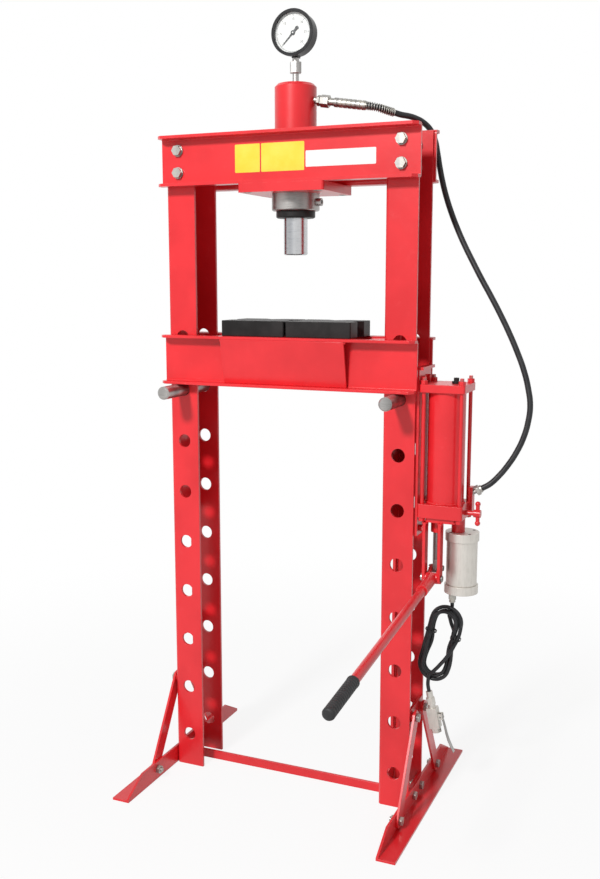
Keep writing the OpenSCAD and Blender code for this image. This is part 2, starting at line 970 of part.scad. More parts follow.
// Rocker on the fulcrum pin: socket tube forwards, fork for the plunger behind
module handle_socket() {
    translate([lever_x, fulcrum_y, fulcrum_z])
        difference() {
            union() {
                rotate([handle_drop, 0, 0])
                    translate([0, -socket_len, 0])
                        rod_y_axis(12, socket_len);
                translate([-12.5, 0, 0])
                    rod_x_axis(11.5, 25);
                for (side = [-1, 1])
                    rotate([plunger_lift, 0, 0])
                        translate([side * 9.3 - 3, 0, -7])
                            cube([6, plunger_arm, 14]);
                for (side = [-1, 1])
                    rotate([plunger_lift, 0, 0])
                        translate([side * 9.3 - 3, plunger_arm, 0])
                            rod_x_axis(7, 6);
            }
            translate([-20, 0, 0])
                rod_x_axis(fulcrum_r + 0.06, 40);
            rotate([plunger_lift, 0, 0])
                translate([-20, plunger_arm, 0])
                    rod_x_axis(cross_pin_r, 40);
            rotate([handle_drop, 0, 0])
                translate([0, -socket_len - 1, 0])
                    rod_y_axis(handle_r + 0.2, socket_len - 16);
        }
}

module plunger_pin() {
    translate([lever_x - 14, cross_pin_y, cross_pin_z])
        rod_x_axis(cross_pin_r, 28);
    for (side = [-1, 1])
        translate([lever_x + side * 14.1 - 1.5, cross_pin_y, cross_pin_z])
            rod_x_axis(6, 3);
}

module handle_bar() {
    translate([lever_x, fulcrum_y, fulcrum_z])
        rotate([handle_drop, 0, 0])
            translate([0, -handle_length, 0])
                rod_y_axis(handle_r, handle_length - 18);
}

module handle_grip() {
    translate([lever_x, fulcrum_y, fulcrum_z])
        rotate([handle_drop, 0, 0])
            translate([0, -handle_length - 3, 0])
                difference() {
                    union() {
                        translate([0, 3, 0])
                            rod_y_axis(grip_r, grip_len - 3);
                        rotate([-90, 0, 0])
                            cylinder(r1 = grip_r - 3, r2 = grip_r, h = 3);
                    }
                    translate([0, 3, 0])
                        rod_y_axis(handle_r, grip_len);
                }
}

// Round piston with a flat tongue, slotted for the cross pin
module plunger() {
    translate([lever_x, cross_pin_y, 0])
        difference() {
            union() {
                translate([0, 0, cross_pin_z + 14])
                    cylinder(r = plunger_r, h = base_low + 18 - cross_pin_z - 14);
                translate([-5.5, -9, cross_pin_z - 8])
                    cube([11, 18, 26]);
            }
            for (s = [-3.2, 3.2])
                translate([-8, s, cross_pin_z])
                    rod_x_axis(cross_pin_r + 0.4, 16);
            translate([-8, -3.2, cross_pin_z - cross_pin_r - 0.4])
                cube([16, 6.4, 2 * cross_pin_r + 0.8]);
        }
}

// ---- air motor ----

module air_motor_body() {
    translate([motor_x, motor_y, motor_low + cap_h])
        cylinder(r = motor_r, h = motor_top - motor_low - 2 * cap_h);
}

module air_motor_caps() {
    for (low = [motor_low, motor_top - cap_h])
        translate([motor_x, motor_y, low])
            difference() {
                cylinder(r = motor_r + 3, h = cap_h);
                for (a = [45 : 90 : 315])
                    rotate([0, 0, a])
                        translate([motor_r - 4, 0, low == motor_low ? -1 : cap_h - 3])
                            cylinder(r = 3.5, h = 4);
            }
}

// Elbow, nut and hose barb under the motor
module air_inlet() {
    translate([motor_x - 16, motor_y - 8, motor_low - 8])
        cylinder(r = 7, h = 8);
    translate([motor_x - 16, motor_y - 8, motor_low - 16])
        hex_z(14, 9);
    translate([motor_x - 16, motor_y - 8, 452])
        cylinder(r = 6.5, h = motor_low - 16 - 452);
}

module air_hose() {
    tube_along(air_path, air_r, 10);
}

module air_hose_tail() {
    tube_along(tail_path, air_r, 10);
}

// The spare hose, hanging in a tied hank
module air_hose_coil() {
    translate([coil_x, coil_y, coil_z])
        rotate([0, coil_tilt, 0])
            rotate([90, 0, 0])
                translate([0, 0, -coil_t / 2])
                    linear_extrude(height = coil_t)
                        difference() {
                            hank_outline(coil_r + coil_w / 2);
                            hank_outline(coil_r - coil_w / 2);
                        }
}

module hank_outline(r) {
    translate([-r, -coil_half + 12])
        square([2 * r, 2 * coil_half - 24]);
    for (s = [-1, 1])
        translate([0, s * (coil_half - 12)])
            circle(r = r);
}

// Valve block hanging from the hose: end fitting, lever ears and inlet socket
module air_valve() {
    translate(valve_top)
        rotate([0, -valve_tilt, 0])
            difference() {
                union() {
                    translate([0, 0, -14])
                        cylinder(r = 7, h = 14);
                    translate([0, 0, -28])
                        hex_z(17, 14.01);
                    translate([0, 0, -37])
                        cylinder(r = 8, h = 10);
                    translate([-11, -10, -80])
                        cube([22, 20, 44]);
                    translate([0, 0, -90])
                        hex_z(19, 10.01);
                    for (side = [-1, 1])
                        translate([10, side * 6 - 1.5, -62])
                            cube([10, 3, 12]);
                }
                translate([0, 0, -91])
                    cylinder(r = 5.7, h = 16);
                translate([16, -12, -56])
                    rod_y_axis(2.06, 24);
            }
}

// Pressed lever that squeezes towards the block, with its pivot pin
module air_valve_lever() {
    translate(valve_top)
        rotate([0, -valve_tilt, 0])
            translate([16, 0, -56]) {
                rotate([0, -8, 0])
                    translate([0, -4.4, -84])
                        cube([3, 8.8, 84]);
                translate([0, -4.4, 0])
                    rod_y_axis(4, 8.8);
                translate([0, -8, 0])
                    rod_y_axis(2, 16);
            }
}

// ---- labels ----

module warning_labels() {
    for (box = [[-113, 57], [-53, 96]])
        translate([box[0], -half_d - steel - 0.4, head_low + 24])
            cube([box[1], 0.4, 57]);
}

module spec_label() {
    translate([46, -half_d - steel - 0.4, head_low + 30])
        cube([150, 0.4, 32]);
}

// ---- nodes ----

color(red) left_upright();
color(red) right_upright();
color(red) foot(-1);  // left_foot
color(red) foot(1);  // right_foot
color(red) braces(-1);  // left_braces
color(red) braces(1);  // right_braces
color(red) cross_bar();
color(silver) foot_bolts();
color(red) head_channel();  // head_channel_front
color(red) mirror([0, 1, 0]) head_channel();  // head_channel_rear
color(silver) head_bolts();
color(silver) head_nuts();
color(red) ram_plate();
color(silver) ram_plate_bolts();
color(red) ram_cylinder();
color(silver) ram_collar();
color(black) ram_gland();
color(silver) ram();
color(silver) gauge_fitting();
color(black) gauge_case();
color("white") gauge_dial();
color(black) gauge_pointer();
color([0.8, 0.9, 1, 0.35]) gauge_glass();
color(silver) hose_fitting();
color(silver) hose_sleeve();
color(black) hose_guard();
color(black) pressure_hose();
color(silver) pump_fitting();
color(red) bed_channel();  // bed_channel_front
color(red) mirror([0, 1, 0]) bed_channel();  // bed_channel_rear
color(red) bed_cover();
color(red) bed_spacers();
color(silver) bed_pin(-1);  // bed_pin_left
color(silver) bed_pin(1);  // bed_pin_right
color(black) arbor_plate(-1);  // arbor_plate_left
color(black) arbor_plate(1);  // arbor_plate_right
color(red) pump_bracket();
color(red) pump_top_plate();
color(red) pump_reservoir();
color(red) pump_base();
color(silver) tie_rods();
color(black) filler_plug();
color(red) release_valve();
color(red) handle_lugs();
color(silver) fulcrum_pin();
color(red) handle_socket();
color(silver) plunger_pin();
color(red) handle_bar();
color(black) handle_grip();
color(silver) plunger();
color(silver) air_motor_body();
color(silver) air_motor_caps();
color(silver) air_inlet();
color(black) air_hose();
color(black) air_hose_coil();
color(black) air_hose_tail();
color(silver) air_valve();
color(silver) air_valve_lever();
color([0.95, 0.75, 0.05]) warning_labels();
color([0.92, 0.92, 0.9]) spec_label();
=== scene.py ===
import bpy
import bmesh
import json
import random
from itertools import product
from math import cos, sin, pi, radians
from mathutils import Matrix, Vector


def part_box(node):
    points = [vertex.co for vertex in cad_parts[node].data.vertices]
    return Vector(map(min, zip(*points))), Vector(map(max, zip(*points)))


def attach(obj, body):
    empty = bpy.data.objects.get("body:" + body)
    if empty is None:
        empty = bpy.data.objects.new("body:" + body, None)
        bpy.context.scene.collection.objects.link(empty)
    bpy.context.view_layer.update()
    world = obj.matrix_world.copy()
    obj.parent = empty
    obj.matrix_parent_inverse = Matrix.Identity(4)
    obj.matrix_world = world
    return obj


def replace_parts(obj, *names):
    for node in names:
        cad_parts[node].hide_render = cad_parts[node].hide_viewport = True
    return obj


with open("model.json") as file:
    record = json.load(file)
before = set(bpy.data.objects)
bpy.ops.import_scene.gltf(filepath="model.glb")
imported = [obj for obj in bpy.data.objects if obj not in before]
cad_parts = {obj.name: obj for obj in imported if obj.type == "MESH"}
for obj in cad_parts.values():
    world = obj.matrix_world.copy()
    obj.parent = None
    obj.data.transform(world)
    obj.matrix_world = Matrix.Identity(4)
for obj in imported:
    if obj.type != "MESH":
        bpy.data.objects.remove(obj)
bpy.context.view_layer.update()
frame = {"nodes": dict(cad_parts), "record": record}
record = frame["record"]
bodyOf = {n: b for b, members in record["behaviour"]["bodies"].items() for n in members}
slotOf = {p["node"]: p["material_slot"] for p in record["subparts"]}
scene = bpy.context.scene
scene.view_settings.view_transform = "Standard"
random.seed(11)
print("frame loaded:", len(frame["nodes"]), "nodes")


cameraSetup = {
    "place": (0.87255, -2.01540, 1.12306),
    "turn": (radians(81.042), 0, radians(23.178)),
    "lens": 41.92,  # on a 36 mm sensor along the long side
}
cameraData = bpy.data.cameras.new("camera")
cameraData.sensor_width = 36
cameraData.lens = cameraSetup["lens"]
cameraData.clip_end = 60
camera = bpy.data.objects.new("camera", cameraData)
scene.collection.objects.link(camera)
camera.location = cameraSetup["place"]
camera.rotation_euler = cameraSetup["turn"]
scene.camera = camera


# One output of a node, so that sums on surface values read as sums
class Reading:
    def __init__(self, nodes, socket):
        self.nodes = nodes
        self.socket = socket

    def maths(self, operation, first, second):
        return self.nodes.node("ShaderNodeMath", {"operation": operation}, {0: first, 1: second})

    def __add__(self, other):
        return self.maths("ADD", self, other)

    def __sub__(self, other):
        return self.maths("SUBTRACT", self, other)

    def __rsub__(self, other):
        return self.maths("SUBTRACT", other, self)

    def __mul__(self, other):
        return self.maths("MULTIPLY", self, other)

    __radd__ = __add__
    __rmul__ = __mul__

    def clamped(self, low, high):
        return self.nodes.node("ShaderNodeMapRange", {"interpolation_type": "SMOOTHSTEP"},
                               {"Value": self, "From Min": low, "From Max": high})


class Nodes:
    def __init__(self, tree):
        self.tree = tree

    def node(self, kind, settings=None, sockets=None, output=0):
        made = self.tree.nodes.new(kind)
        for key, value in (settings or {}).items():
            setattr(made, key, value)
        for key, value in (sockets or {}).items():
            self.feed(value, made.inputs[key])
        return Reading(self, made.outputs[output])

    def feed(self, value, socket):
        if isinstance(value, Reading):
            self.tree.links.new(value.socket, socket)
        else:
            socket.default_value = value

    # 0 for the light that falls on the press, 1 or more for the rays that see the room's white
    def raysThatSee(self):
        kinds = ("Is Camera Ray", "Is Glossy Ray", "Is Transmission Ray")
        camera, glossy, through = (self.node("ShaderNodeLightPath", output=kind) for kind in kinds)
        return camera + glossy + through


class Finish(Nodes):
    def __init__(self, name):
        self.material = bpy.data.materials.new(name)
        self.material.use_nodes = True
        super().__init__(self.material.node_tree)
        self.shader = self.tree.nodes["Principled BSDF"]
        self.place = self.node("ShaderNodeTexCoord", output="Object")

    def noise(self, scale, detail=2.0, rough=0.5, stretch=None):
        where = self.place
        if stretch:
            where = self.node("ShaderNodeMapping", None, {"Vector": where, "Scale": stretch})
        return self.node("ShaderNodeTexNoise", None,
                         {"Vector": where, "Scale": scale, "Detail": detail, "Roughness": rough})

    def blendColours(self, amount, first, second):
        return self.node("ShaderNodeMix", {"data_type": "RGBA", "clamp_factor": True},
                         {0: amount, 6: first, 7: second}, output=2)

    # 1 along the edges of the shape, 0 on its faces
    def edges(self, radius, low=0.03, high=0.3):
        rounded = self.node("ShaderNodeBevel", {"samples": 4}, {"Radius": radius}, output="Normal")
        straight = self.node("ShaderNodeNewGeometry", output="Normal")
        same = self.node("ShaderNodeVectorMath", {"operation": "DOT_PRODUCT"},
                         {0: rounded, 1: straight}, output="Value")
        return (1 - same).clamped(low, high)

    def bump(self, height, strength, distance):
        return self.node("ShaderNodeBump", None,
                         {"Height": height, "Strength": strength, "Distance": distance})

    def surface(self, **sockets):
        names = {"colour": "Base Color", "roughness": "Roughness", "metallic": "Metallic",
                 "normal": "Normal", "coat": "Coat Weight", "coatRoughness": "Coat Roughness",
                 "alpha": "Alpha", "specular": "Specular IOR Level"}
        for name, value in sockets.items():
            self.feed(value, self.shader.inputs[names[name]])
        return self.material


def paintFinish(name, look):
    f = Finish(name)
    patches = f.noise(look["patchScale"], 3.0)
    dust = f.noise(look["dustScale"], 5.0, 0.65)
    peel = f.noise(look["peelScale"], 2.0, 0.4)
    grain = f.noise(look["grainScale"], 1.0)
    # Lighter pink along the edges: partly worn paint, partly a painted edge highlight
    wearAndHighlight = (f.edges(look["edge"]) * f.noise(look["wearScale"], 4.0, 0.7).clamped(0.44, 0.62)) * look["wear"]
    base = f.blendColours(patches.clamped(0.3, 0.7), look["deep"], look["main"])
    base = f.blendColours(dust.clamped(0.56, 0.8) * 0.16, base, look["dusty"])
    base = f.blendColours(wearAndHighlight, base, look["wornTo"])
    rough = look["roughness"] + dust * 0.12 + wearAndHighlight * 0.2 - peel * 0.04
    return f.surface(colour=base, roughness=rough, normal=f.bump(peel + grain * 0.15, 0.16, 0.0005),
                     coat=look["coat"], coatRoughness=look["coatRoughness"], specular=look["specular"])


def metalFinish(name, look):
    f = Finish(name)
    clouds = f.noise(look["cloudScale"], 4.0, 0.6)
    lines = f.noise(look["lineScale"], 3.0, 0.6, look["stretch"])
    grain = f.noise(1800.0, 1.0)
    # Painted reflection: soft dark bands round the metal that stand in for reflections of the room
    reflectionBands = f.noise(look["bandScale"], 1.0, 0.5, (1.0, 1.0, 0.03)).clamped(0.38, 0.62)
    rim = f.edges(0.0009) * 0.5
    base = f.blendColours(clouds.clamped(0.3, 0.75), look["main"], look["tinted"])
    base = f.blendColours(lines.clamped(0.45, 0.8) * 0.35 + reflectionBands * look["banded"], base, look["dark"])
    base = f.blendColours(rim, base, look["bright"])
    rough = look["roughness"] + clouds * 0.12 + lines * 0.12 - rim * 0.1
    return f.surface(colour=base, roughness=rough, metallic=look["metal"],
                     normal=f.bump(lines + grain * 0.2, look["relief"], 0.0003))


def darkFinish(name, look):
    f = Finish(name)
    clouds = f.noise(look["cloudScale"], 5.0, 0.65)
    pebble = f.noise(look["pebbleScale"], 3.0, 0.55)
    wearAndHighlight = f.edges(0.0012) * f.noise(70.0, 3.0, 0.7).clamped(0.4, 0.62) * look["wear"]
    base = f.blendColours(clouds.clamped(0.3, 0.7), look["main"], look["faded"])
    base = f.blendColours(wearAndHighlight, base, look["wornTo"])
    return f.surface(colour=base, roughness=look["roughness"] + clouds * 0.14 - wearAndHighlight * 0.12,
                     metallic=wearAndHighlight * look["metalUnder"],
                     normal=f.bump(pebble + clouds * 0.3, look["relief"], 0.0006),
                     specular=look["specular"])


def sheetFinish(name, look):
    f = Finish(name)
    clouds = f.noise(24.0, 4.0, 0.6)
    fine = f.noise(900.0, 2.0)
    scuff = f.noise(60.0, 5.0, 0.7, (1.0, 1.0, 6.0)).clamped(0.62, 0.78)
    rim = f.edges(0.001) * 0.35
    base = f.blendColours(clouds.clamped(0.3, 0.7), look["main"], look["faded"])
    base = f.blendColours(scuff * 0.22 + rim, base, look["wornTo"])
    return f.surface(colour=base, roughness=look["roughness"] + clouds * 0.12 + scuff * 0.1,
                     normal=f.bump(fine + clouds * 0.4, look["relief"], 0.0002), specular=0.4)


def glassFinish(name):
    f = Finish(name)
    smear = f.noise(40.0, 4.0, 0.6).clamped(0.45, 0.75)
    return f.surface(colour=(0.92, 0.97, 1.0, 1), roughness=0.02 + smear * 0.05, alpha=0.025 + smear * 0.02,
                     normal=f.bump(f.noise(14.0, 1.0), 0.02, 0.001), specular=0.8)


paint = {
    "deep": (0.66, 0.014, 0.020, 1), "main": (0.80, 0.022, 0.030, 1), "dusty": (0.83, 0.09, 0.095, 1),
    # The lighter edge pink is partly worn paint and partly a painted edge highlight
    "wornTo": (0.86, 0.12, 0.115, 1), "roughness": 0.29, "wear": 0.7, "edge": 0.0014,
    "coat": 0.22, "coatRoughness": 0.2, "specular": 0.4,
    "patchScale": 7.0, "dustScale": 55.0, "peelScale": 330.0, "grainScale": 1400.0, "wearScale": 46.0,
}
# bandScale and banded set the size and depth of the painted reflection bands on the metals
zinc = {
    "main": (0.41, 0.40, 0.385, 1), "tinted": (0.47, 0.445, 0.385, 1), "dark": (0.17, 0.17, 0.17, 1),
    "bright": (0.74, 0.73, 0.71, 1), "roughness": 0.27, "metal": 0.95, "relief": 0.3,
    "bandScale": 70.0, "banded": 0.35,
    "cloudScale": 60.0, "lineScale": 240.0, "stretch": (1.0, 1.0, 1.0),
}
turned = {
    "main": (0.40, 0.39, 0.38, 1), "tinted": (0.48, 0.46, 0.44, 1), "dark": (0.13, 0.125, 0.12, 1),
    "bright": (0.72, 0.71, 0.70, 1), "roughness": 0.24, "metal": 0.97, "relief": 0.3,
    "bandScale": 26.0, "banded": 0.55,
    "cloudScale": 30.0, "lineScale": 90.0, "stretch": (1.0, 1.0, 9.0),
}
chrome = {
    "main": (0.52, 0.53, 0.54, 1), "tinted": (0.60, 0.60, 0.61, 1), "dark": (0.30, 0.31, 0.33, 1),
    "bright": (0.80, 0.80, 0.80, 1), "roughness": 0.12, "metal": 1.0, "relief": 0.05,
    "bandScale": 45.0, "banded": 0.55,
    "cloudScale": 16.0, "lineScale": 60.0, "stretch": (1.0, 1.0, 5.0),
}
alloy = {
    "main": (0.64, 0.61, 0.56, 1), "tinted": (0.70, 0.67, 0.62, 1), "dark": (0.42, 0.40, 0.37, 1),
    "bright": (0.90, 0.89, 0.87, 1), "roughness": 0.34, "metal": 0.75, "relief": 0.2,
    "bandScale": 12.0, "banded": 0.3,
    "cloudScale": 22.0, "lineScale": 300.0, "stretch": (1.0, 1.0, 0.15),
}
blackSteel = {
    "main": (0.010, 0.009, 0.009, 1), "faded": (0.024, 0.022, 0.022, 1), "wornTo": (0.22, 0.21, 0.20, 1),
    "roughness": 0.36, "wear": 0.6, "metalUnder": 0.7, "relief": 0.25, "specular": 0.2,
    "cloudScale": 18.0, "pebbleScale": 520.0,
}
rubber = {
    "main": (0.012, 0.012, 0.013, 1), "faded": (0.030, 0.030, 0.032, 1), "wornTo": (0.07, 0.07, 0.072, 1),
    "roughness": 0.50, "wear": 0.5, "metalUnder": 0.0, "relief": 0.3, "specular": 0.4,
    "cloudScale": 40.0, "pebbleScale": 900.0,
}
hoseCover = dict(rubber, roughness=0.36, specular=0.3, relief=0.18, pebbleScale=700.0,
                 main=(0.014, 0.014, 0.016, 1), faded=(0.028, 0.029, 0.031, 1))
blackPlastic = dict(rubber, roughness=0.2, relief=0.06, specular=0.25, main=(0.008, 0.008, 0.009, 1),
                    faded=(0.016, 0.016, 0.017, 1), wornTo=(0.10, 0.10, 0.11, 1))
pointerBlack = dict(rubber, roughness=0.40, relief=0.05)
dialWhite = {
    "main": (0.86, 0.87, 0.86, 1), "faded": (0.82, 0.82, 0.79, 1),
    "wornTo": (0.74, 0.73, 0.68, 1), "roughness": 0.45, "relief": 0.03,
}
yellowSheet = {
    "main": (0.86, 0.62, 0.035, 1), "faded": (0.90, 0.68, 0.07, 1),
    "wornTo": (0.93, 0.82, 0.38, 1), "roughness": 0.34, "relief": 0.08,
}
whiteSheet = {
    "main": (0.84, 0.84, 0.82, 1), "faded": (0.80, 0.79, 0.77, 1),
    "wornTo": (0.66, 0.65, 0.63, 1), "roughness": 0.34, "relief": 0.08,
}
finishes = {
    "red_paint": paintFinish("redPaint", paint),
    "zinc_steel": metalFinish("zincPlate", zinc),
    "plain_steel": metalFinish("turnedSteel", turned),
    "chrome_rod": metalFinish("hardChrome", chrome),
    "cast_alloy": metalFinish("satinAlloy", alloy),
    "black_steel": darkFinish("blackSteel", blackSteel),
    "black_rubber": darkFinish("gripRubber", rubber),
    "hose_cover": darkFinish("hoseCover", hoseCover),
    "black_plastic": darkFinish("glossBlack", blackPlastic),
    "pointer_black": darkFinish("pointerBlack", pointerBlack),
    "dial_white": sheetFinish("dialWhite", dialWhite),
    "yellow_label": sheetFinish("yellowSheet", yellowSheet),
    "white_label": sheetFinish("whiteSheet", whiteSheet),
    "clear_glass": glassFinish("gaugeGlass"),
}
print("finishes made:", len(finishes))


def addPiece(name, bm, slot, body, sharp=35):
    for face in bm.faces:
        face.smooth = True
    for edge in bm.edges:
        edge.smooth = len(edge.link_faces) == 2 and edge.calc_face_angle(0) < radians(sharp)
    mesh = bpy.data.meshes.new(name)
    bm.to_mesh(mesh)
    bm.free()
    mesh.materials.append(finishes[slot])
    piece = bpy.data.objects.new(name, mesh)
    scene.collection.objects.link(piece)
    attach(piece, body)
    return piece


def roundEdges(bm, edges, offset, segments=2):
    bmesh.ops.bevel(bm, geom=edges, offset=offset, segments=segments, profile=0.5,
                    affect="EDGES", material=-1)


# Each item once, in the same order on every run
def once(items):
    return list(dict.fromkeys(items))


def edgesOf(verts):
    return once(e for v in verts for e in v.link_edges)


def facesOf(verts):
    return once(f for v in verts for f in v.link_faces)


# A box of a given size about a place
def addBlock(bm, place, size):
    return bmesh.ops.create_cube(bm, size=1, matrix=place @ Matrix.Diagonal((*size, 1)))["verts"]


def addTube(name, route, radius, slot, body, sides=4, smooth=5):
    data = bpy.data.curves.new(name, "CURVE")
    data.dimensions = "3D"
    data.bevel_depth = radius
    data.bevel_resolution = sides
    data.resolution_u = smooth
    data.use_fill_caps = True
    line = data.splines.new("BEZIER")
    line.bezier_points.add(len(route) - 1)
    for knot, point in zip(line.bezier_points, route):
        knot.co = point
        knot.handle_left_type = knot.handle_right_type = "AUTO"
    data.materials.append(finishes[slot])
    piece = bpy.data.objects.new(name, data)
    scene.collection.objects.link(piece)
    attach(piece, body)
    return piece


def camel(name):
    first, *rest = name.split("_")
    return first + "".join(word.title() for word in rest)


softEdges = {
    "width": {"red_paint": 0.0009, "zinc_steel": 0.0007, "plain_steel": 0.0006, "black_steel": 0.0012,
              "cast_alloy": 0.0009, "chrome_rod": 0.0005, "black_plastic": 0.0009},
    "own": {"left_upright": 0.0012, "right_upright": 0.0012, "ram_cylinder": 0.0015, "pump_base": 0.0016,
            "pump_top_plate": 0.0016, "ram_plate": 0.0015, "hose_sleeve": 0.0005},
    "unsoftened": ("gauge_dial", "gauge_pointer", "gauge_glass"),
    "remade": ("pressure_hose", "hose_guard", "air_hose", "air_hose_coil", "air_hose_tail", "air_valve",
               "air_valve_lever", "warning_labels", "spec_label", "handle_grip", "pump_reservoir",
               "ram_plate_bolts"),
    "merged": 0.00001, "flat": 0.5, "sharp": 38,  # metres, and angles in degrees
}
slotOf["tie_rods"] = "red_paint"  # painted with the pump


footNose = {"back": 0.062, "low": 0.0062, "high": 0.0405}


# Cuts both ends of a foot's upright leg back to a point on the floor leg
def cutNoses(bm, setup):
    far = max(v.co.y for v in bm.verts)
    for end in (-1, 1):
        outward = Vector((0, end * (setup["high"] - setup["low"]), setup["back"])).normalized()
        whole = bm.verts[:] + bm.edges[:] + bm.faces[:]
        cut = bmesh.ops.bisect_plane(bm, geom=whole, dist=0.000001, plane_co=(0, end * far, setup["low"]),
                                     plane_no=outward, clear_outer=True)
        rim = [e for e in cut["geom_cut"] if isinstance(e, bmesh.types.BMEdge)]
        bmesh.ops.edgeloop_fill(bm, edges=rim)


def softenNode(node, width):
    bm = bmesh.new()
    bm.from_mesh(frame["nodes"][node].data)
    bmesh.ops.remove_doubles(bm, verts=bm.verts, dist=softEdges["merged"])
    bmesh.ops.dissolve_limit(bm, angle_limit=radians(softEdges["flat"]), verts=bm.verts, edges=bm.edges)
    if node in ("left_foot", "right_foot"):
        cutNoses(bm, footNose)
    piece = addPiece(camel(node) + "Body", bm, slotOf[node], bodyOf[node], 40)
    rounding = piece.modifiers.new("rounding", "BEVEL")
    rounding.width = width
    rounding.segments = 2
    rounding.limit_method = "ANGLE"
    rounding.angle_limit = radians(softEdges["sharp"])
    rounding.use_clamp_overlap = True
    rounding.miter_outer = "MITER_ARC"
    shading = piece.modifiers.new("shading", "WEIGHTED_NORMAL")
    shading.keep_sharp = True
    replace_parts(piece, node)
    return piece


pressureHose = {
    "route": [
        (0.1562, 0, 1.4651), (0.168, 0, 1.4632), (0.181, 0.005, 1.46), (0.193, 0.016, 1.456),
        (0.204, 0.029, 1.453), (0.215, 0.042, 1.45), (0.225, 0.057, 1.449), (0.236, 0.073, 1.446),
        (0.248, 0.088, 1.439), (0.26, 0.1, 1.425), (0.268, 0.107, 1.405), (0.273, 0.111, 1.378),
        (0.278, 0.112, 1.35), (0.285, 0.111, 1.32), (0.294, 0.109, 1.29), (0.306, 0.106, 1.258),
        (0.32, 0.103, 1.226), (0.337, 0.099, 1.192), (0.356, 0.095, 1.158), (0.377, 0.09, 1.122),
        (0.399, 0.086, 1.086), (0.42, 0.082, 1.05), (0.44, 0.078, 1.013), (0.458, 0.074, 0.976),
        (0.474, 0.07, 0.938), (0.485, 0.065, 0.902), (0.491, 0.06, 0.868), (0.489, 0.055, 0.835),
        (0.482, 0.05, 0.804), (0.47, 0.044, 0.774), (0.454, 0.038, 0.746), (0.436, 0.032, 0.722),
        (0.42, 0.027, 0.706), (0.4056, 0.0234, 0.6973)],
    "diameter": 0.012, "length": 0.972,
    "guardKnots": 5, "guardPoints": 240, "guardRadius": 0.0074, "wire": 0.0011, "guardPitch": 0.0046,
}


# Points at an even spacing on a smooth line through the given ones
def resample(route, count, fineness=12):
    points = [Vector(p) for p in route]
    fine = []
    for i in range(len(points) - 1):
        a, b = points[max(i - 1, 0)], points[i]
        c, d = points[i + 1], points[min(i + 2, len(points) - 1)]
        for k in range(fineness):
            t = k / fineness
            fine.append(0.5 * (2 * b + (c - a) * t + (2 * a - 5 * b + 4 * c - d) * t * t
                               + (3 * b - a - 3 * c + d) * t * t * t))
    fine.append(points[-1])
    reach = [0.0]
    for a, b in zip(fine, fine[1:]):
        reach.append(reach[-1] + (b - a).length)
    spaced, at = [], 0
    for k in range(count):
        target = reach[-1] * k / (count - 1)
        while at < len(reach) - 2 and reach[at + 1] < target:
            at += 1
        share = (target - reach[at]) / max(reach[at + 1] - reach[at], 1e-9)
        spaced.append(fine[at].lerp(fine[at + 1], min(max(share, 0), 1)))
    return spaced, reach[-1]


def makePressureHose(setup):
    hose = addTube("pressureHose", setup["route"], setup["diameter"] / 2, "hose_cover", "frame", 6, 6)
    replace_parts(hose, "pressure_hose")
    line, length = resample(setup["route"][:setup["guardKnots"]], setup["guardPoints"])
    turns, last = length / setup["guardPitch"], len(line) - 1
    coil, side = [], Vector((0, 1, 0))
    for i, point in enumerate(line):
        along = (line[min(i + 1, last)] - line[max(i - 1, 0)]).normalized()
        side = (side - along * side.dot(along)).normalized()
        angle = 2 * pi * turns * i / last
        coil.append(point + (side * cos(angle) + along.cross(side) * sin(angle)) * setup["guardRadius"])
    guard = addTube("springGuard", coil, setup["wire"], "zinc_steel", "frame", 1, 2)
    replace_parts(guard, "hose_guard")


airHose = {
    "diameter": 0.008, "length": 1.328,
    "entry": [(0.352, 0.012, 0.452), (0.352, 0.012, 0.442), (0.35, 0.011, 0.433), (0.347, 0.009, 0.425)],
    "tail": [(0.311, -0.007, 0.293), (0.309, -0.007, 0.282), (0.3085, -0.007, 0.27),
             (0.311, -0.007, 0.256)],
    "middle": (0.331, 0.002, 0.362), "tilt": 14, "run": 0.050, "straight": 1.32, "steps": 8,
    # radius of each half turn, its depth at both ends, and how far the tie draws in the run after it
    "folds": [(0.024, 0.009, 0.0045, 0.004), (0.024, 0, 0, 0.004), (0.024, 0, -0.0045, 0),
              (0.024, -0.009, -0.009, 0), (0.0325, -0.003, 0.001, 0), (0.0325, 0.001, -0.001, 0)],
    "into": [(0.004, 0.057, 0.0078), (0.009, 0.047, 0.0084), (0.016, 0.036, 0.009), (0.022, 0.023, 0.009),
             (0.024, 0.008, 0.009), (0.024, -0.012, 0.009), (0.024, -0.030, 0.009)],
    "outOf": [(0.0345, 0.028, -0.0045), (0.033, 0.010, -0.0105), (0.0295, -0.008, -0.014),
              (0.024, -0.024, -0.0155), (0.017, -0.038, -0.015), (0.0095, -0.052, -0.013),
              (0.003, -0.063, -0.011)],
    "lean": 0.2, "easing": [0.1, 0.35, 0.65, 0.9],  # the turns behind hang this much further right
    "ties": [(-0.026, 0.022, -0.0022, 0.0116, 0.0098), (0.028, 0.022, 0.0005, 0.0106, 0.0136)],
}


# Place in the hank: u across, w along its runs, y front to back
def hankPoint(setup, u, w, y):
    tilt = radians(setup["tilt"])
    x, _, z = setup["middle"]
    return (x + u * cos(tilt) + w * sin(tilt), setup["middle"][1] + y, z - u * sin(tilt) + w * cos(tilt))


